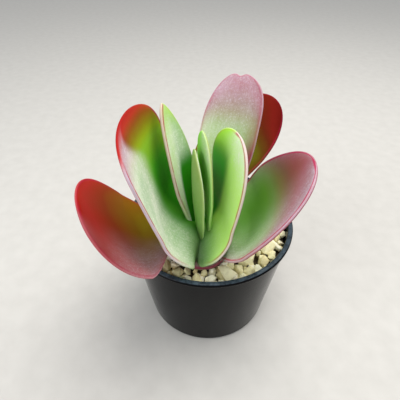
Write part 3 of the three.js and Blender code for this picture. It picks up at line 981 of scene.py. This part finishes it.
def make_pot():
    lip = RIM_DEPTH / 2
    inner_top = WALL_TOP_RADIUS - WALL
    mouth = POT_HEIGHT - MOUTH_ROUND
    profile = [
        (0, 0),
        (FLOOR_RING, 0),
        *arc(BASE_RADIUS - BASE_EDGE, BASE_EDGE, BASE_EDGE, -90, 0, 10)[:-1],
        *[(wall_radius(z), z) for z in np.linspace(BASE_EDGE, WALL_TOP, WALL_STEPS)],
        *arc(RIM_RADIUS - lip, POT_HEIGHT - lip, lip, -60, 90, 14),
        *arc(inner_top + MOUTH_ROUND, mouth, MOUTH_ROUND, 90, 180, 6)[:-1],
        *[(wall_radius(z) - WALL, z)
          for z in np.linspace(mouth, FLOOR + FLOOR_CORNER, WALL_STEPS)],
        (wall_radius(FLOOR) - WALL - FLOOR_CORNER, FLOOR),
        (FLOOR_RING, FLOOR),
        (0, FLOOR),
    ]
    points, faces = turned(profile, POT_SIDES)
    made = piece("nursery_pot", points, faces, pot_material(), ["pot"])
    for i in range(DRAIN_COUNT):
        angle = i * 2 * math.pi / DRAIN_COUNT
        drill(made, DRAIN_CIRCLE * math.cos(angle), DRAIN_CIRCLE * math.sin(angle))
    made.data.name = "nursery_pot"
    made.data.set_sharp_from_angle(angle=math.radians(POT_SHARP_ANGLE))


# ---- The gravel --------------------------

STONE_SHAPES = 26
STONE_CORNERS = (11, 17)
STONE_SHARP_ANGLE = 28
CHIP_TONES = (0.2, 0.6)
CHIP_ROOM = 0.94
GRAVEL_LEVEL = 64.0
GRAVEL_TOP = 67.6
GRAVEL_REACH = 47.5
COLLAR_TUCK = 2.0
# Loose stones between the chips, then the layer under them: how many at most, how many
# places are tried for each, the smallest and the largest, how much they crowd, their
# height as a share of their reach, and the room they take as a share of it.
LOOSE = dict(count=150, tries=900, sizes=(1.8, 3.6), crowd=1.3, flat=0.9, room=0.92)
UNDER = dict(count=190, tries=400, sizes=(2.2, 3.9), crowd=1.15, flat=0.75, room=0.85)
UNDER_LIFT = 1.4


def from_lowest(face):
    """The same face, told from its lowest corner on, so that faces can be put in order."""
    start = face.index(min(face))
    return tuple(face[start:] + face[:start])


def stone_shape(draw):
    """An angular crushed stone that reaches one unit from its middle. Its points and faces
    are put in order, since bmesh may list them in another order on each run."""
    shape = bmesh.new()
    for _ in range(draw.randint(*STONE_CORNERS)):
        place = Vector([draw.gauss(0, 1) for _ in range(3)]).normalized()
        place *= draw.uniform(0.86, 1.08)
        shape.verts.new(place)
    hull = bmesh.ops.convex_hull(shape, input=shape.verts)
    loose = [e for e in dict.fromkeys(hull["geom_interior"] + hull["geom_unused"])
             if isinstance(e, bmesh.types.BMVert)]
    bmesh.ops.delete(shape, geom=loose, context="VERTS")
    bmesh.ops.dissolve_limit(shape, angle_limit=math.radians(12), verts=shape.verts,
                             edges=shape.edges)
    bmesh.ops.bevel(shape, geom=shape.edges[:], offset=0.045, segments=2, profile=0.6,
                    affect="EDGES", clamp_overlap=True)
    bmesh.ops.triangulate(shape, faces=shape.faces[:])
    bmesh.ops.subdivide_edges(shape, edges=shape.edges[:], cuts=1, use_grid_fill=True)
    bmesh.ops.remove_doubles(shape, verts=shape.verts[:], dist=0.012)
    shift = Vector([draw.uniform(-50, 50) for _ in range(3)])
    for vert in shape.verts:
        rough = noise.noise(vert.co * 2.3 + shift) * 0.05
        rough += noise.noise(vert.co * 7.0 + shift) * 0.018
        vert.co += vert.co.normalized() * rough
    bmesh.ops.recalc_face_normals(shape, faces=shape.faces[:])
    corners = sorted(shape.verts, key=lambda vert: tuple(vert.co))
    numbers = {vert: number for number, vert in enumerate(corners)}
    points = np.array([vert.co for vert in corners])
    faces = sorted(from_lowest([numbers[v] for v in face.verts]) for face in shape.faces)
    shape.free()
    return points, faces


def stone_material():
    paint = Paint("cream_stone")
    tone = paint.attribute("tone")
    grain = paint.noise(260, detail=8, roughness=0.68)
    patch = paint.noise(110, detail=4)
    base = paint.ramp(tone, [
        (0.0, "#c0a56c"), (0.12, "#e0d29c"), (0.35, "#f0e6b4"), (0.65, "#f7f0c9"),
        (1.0, "#fdf9e6"),
    ])
    stain = paint.spread(patch, 0.52, 0.72, 0.0, 0.3)
    base = paint.blend(stain, base, colour("#c3a86c"))
    dark = paint.spread(grain, 0.3, 0.55, 0.35, 0.0)
    base = paint.blend(dark, base, colour("#a99763"))
    rough = paint.total(grain, paint.times(paint.cells(900), 0.25))
    paint.set(Base_Color=base, Roughness=paint.spread(grain, 0.3, 0.7, 0.72, 0.95),
              Normal=paint.relief(rough, 0.0005, 0.7),
              Subsurface_Weight=0.05, Subsurface_Radius=(1.0, 0.8, 0.5),
              Subsurface_Scale=0.001, Specular_IOR_Level=0.3)
    return paint.material


def gravel_room(x, y, laid):
    """Free distance from a place on the gravel to the wall, the collar and the stones."""
    dx, dy = x - CROWN[0], y - CROWN[1]
    heading = np.degrees(np.arctan2(dy, dx))
    room = np.minimum(
        wall_radius(GRAVEL_LEVEL) - WALL - np.hypot(x, y),
        np.hypot(dx, dy) - collar_radius(heading) + COLLAR_TUCK,
    )
    for px, py, reach in laid:
        room = np.minimum(room, np.hypot(x - px, y - py) - reach)
    return room


def roomiest(rng, tries, laid):
    """The roomiest of several random places on the gravel, and the room there."""
    turns = rng.uniform(0, 2 * np.pi, tries)
    away = GRAVEL_REACH * np.sqrt(rng.uniform(0, 1, tries))
    x, y = away * np.cos(turns), away * np.sin(turns)
    room = gravel_room(x, y, laid)
    best = int(np.argmax(room))
    return x[best], y[best], float(room[best])


def tumbled(draw, shapes):
    """One of the stone shapes, turned at random."""
    points, faces = draw.choice(shapes)
    turn = Euler([draw.uniform(0, 2 * math.pi) for _ in range(3)]).to_matrix()
    return points @ np.array(turn).T, faces


def make_gravel():
    draw = random.Random(11)
    rng = np.random.default_rng(5)
    shapes = [stone_shape(draw) for _ in range(STONE_SHAPES)]
    material = stone_material()
    sharp = math.radians(STONE_SHARP_ANGLE)
    laid = []
    for name in sorted(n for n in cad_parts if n.startswith("stone_chip_")):
        low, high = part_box(name)
        centre = (low + high) / 2 / MM
        size = (high - low) / MM
        points, faces = tumbled(draw, shapes)
        span = points.max(0) - points.min(0)
        points = (points - (points.max(0) + points.min(0)) / 2) / span * np.array(size)
        made = piece(name.replace("stone_chip", "chip"), points + np.array(centre), faces,
                     material, [name])
        made.data.set_sharp_from_angle(angle=sharp)
        give(made, "tone", np.full(len(points), draw.uniform(*CHIP_TONES)))
        laid.append((centre.x, centre.y, (size.x + size.y) / 4 * CHIP_ROOM))

    fill_points, fill_faces, fill_tones = [], [], []

    def lay(x, y, z, reach, height):
        points, faces = tumbled(draw, shapes)
        points = points * np.array([reach, reach, height])
        start = sum(len(p) for p in fill_points)
        fill_points.append(points + np.array([x, y, z]))
        fill_faces.extend(tuple(start + v for v in face) for face in faces)
        fill_tones.append(np.full(len(points), draw.random() ** 0.8))

    smallest, largest = LOOSE["sizes"]
    for _ in range(LOOSE["count"]):
        x, y, room = roomiest(rng, LOOSE["tries"], laid)
        reach = min(room * LOOSE["crowd"], largest)
        if reach < smallest:
            break
        top = GRAVEL_TOP - reach * draw.uniform(0.75, 1.0)
        lay(x, y, top, reach, reach * LOOSE["flat"])
        laid.append((x, y, reach * LOOSE["room"]))
    smallest, largest = UNDER["sizes"]
    under = []
    for _ in range(UNDER["count"]):
        x, y, room = roomiest(rng, UNDER["tries"], under)
        reach = min(max(room * UNDER["crowd"], smallest), largest)
        lay(x, y, BED_TOP + UNDER_LIFT, reach, reach * UNDER["flat"])
        under.append((x, y, reach * UNDER["room"]))
    made = piece("gravel_fill", np.vstack(fill_points), fill_faces, material)
    made.data.set_sharp_from_angle(angle=sharp)
    give(made, "tone", np.concatenate(fill_tones))


def ground_material(name, shades, scale):
    paint = Paint(name)
    clods = paint.noise(scale, detail=8, roughness=0.7)
    paint.set(Base_Color=paint.ramp(clods, shades),
              Roughness=paint.spread(clods, 0.3, 0.7, 0.8, 1.0),
              Normal=paint.relief(clods, 0.002, 0.8))
    return paint.material


def dress_node(node, material):
    """Gives a CAD node that stays in sight a finished material."""
    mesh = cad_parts[node].data
    mesh.materials.clear()
    mesh.materials.append(material)


# ---- The plant in its pot ----------------

make_pot()
for leaf_name, leaf_sizes in LEAVES.items():
    make_leaf(leaf_name, leaf_sizes)
make_stem()
make_gravel()
dress_node("soil", ground_material(
    "peat", [(0.25, "#1c120b"), (0.5, "#3a281a"), (0.75, "#594130")], 300))
# Dust under the stones, darkened as painted shade so the gaps between them read dark.
dress_node("gravel_bed", ground_material(
    "gravel_dust_in_shade", [(0.25, "#1c140a"), (0.5, "#3c2f1a"), (0.75, "#6a5835")], 500))

# ---- Floor, light and camera, in metres --

FLOOR_HALF = 3.0
SKY = (0.93, 0.96, 1.0, 1)
SKY_STRENGTH = 0.72
KEY_LIGHT = dict(place=(0.18, 0.10, 0.75), size=0.7, power=6.0, tint=(1.0, 0.98, 0.95))
FILL_LIGHT = dict(place=(-0.55, -0.45, 0.45), size=0.6, power=3.0, tint=(0.93, 0.97, 1.0))
CAMERA_PLACE = (0, -0.1497, 0.210)
CAMERA_TILT = 50
CAMERA_TURN = 2
LENS = 30.4
SENSOR = 36


def make_floor():
    mesh = bpy.data.meshes.new("floor")
    low, high = -FLOOR_HALF, FLOOR_HALF
    corners = [(low, low, 0), (high, low, 0), (high, high, 0), (low, high, 0)]
    mesh.from_pydata(corners, [], [(0, 1, 2, 3)])
    made = add_object("floor", mesh)
    paint = Paint("pale_floor")
    grain = paint.noise(90, detail=4)
    paint.set(Base_Color=paint.ramp(grain, [(0.3, "#bdbab4"), (0.7, "#c3c0ba")]),
              Roughness=0.85)
    mesh.materials.append(paint.material)


def soft_light(name, aim, place, size, power, tint):
    lamp = bpy.data.lights.new(name, "AREA")
    lamp.shape = "DISK"
    lamp.size = size
    lamp.energy = power
    lamp.color = tint
    made = add_object(name, lamp)
    made.location = place
    made.rotation_euler = (aim - Vector(place)).to_track_quat("-Z", "Y").to_euler()


def make_sky():
    world = bpy.data.worlds.new("studio")
    world.use_nodes = True
    background = world.node_tree.nodes["Background"]
    background.inputs["Color"].default_value = SKY
    background.inputs["Strength"].default_value = SKY_STRENGTH
    bpy.context.scene.world = world
    bpy.context.scene.view_settings.view_transform = "Standard"


def make_camera():
    lens = bpy.data.cameras.new("camera")
    lens.lens = LENS
    lens.sensor_width = SENSOR
    lens.clip_start = 0.01
    camera = add_object("camera", lens)
    camera.location = CAMERA_PLACE
    camera.rotation_euler = (math.radians(CAMERA_TILT), 0, math.radians(CAMERA_TURN))
    bpy.context.scene.camera = camera


make_floor()
middle_of_part = (Vector(cad_box[0]) + Vector(cad_box[1])) / 2
soft_light("key", middle_of_part, **KEY_LIGHT)
soft_light("fill", middle_of_part, **FILL_LIGHT)
make_sky()
make_camera()

bpy.context.view_layer.update()
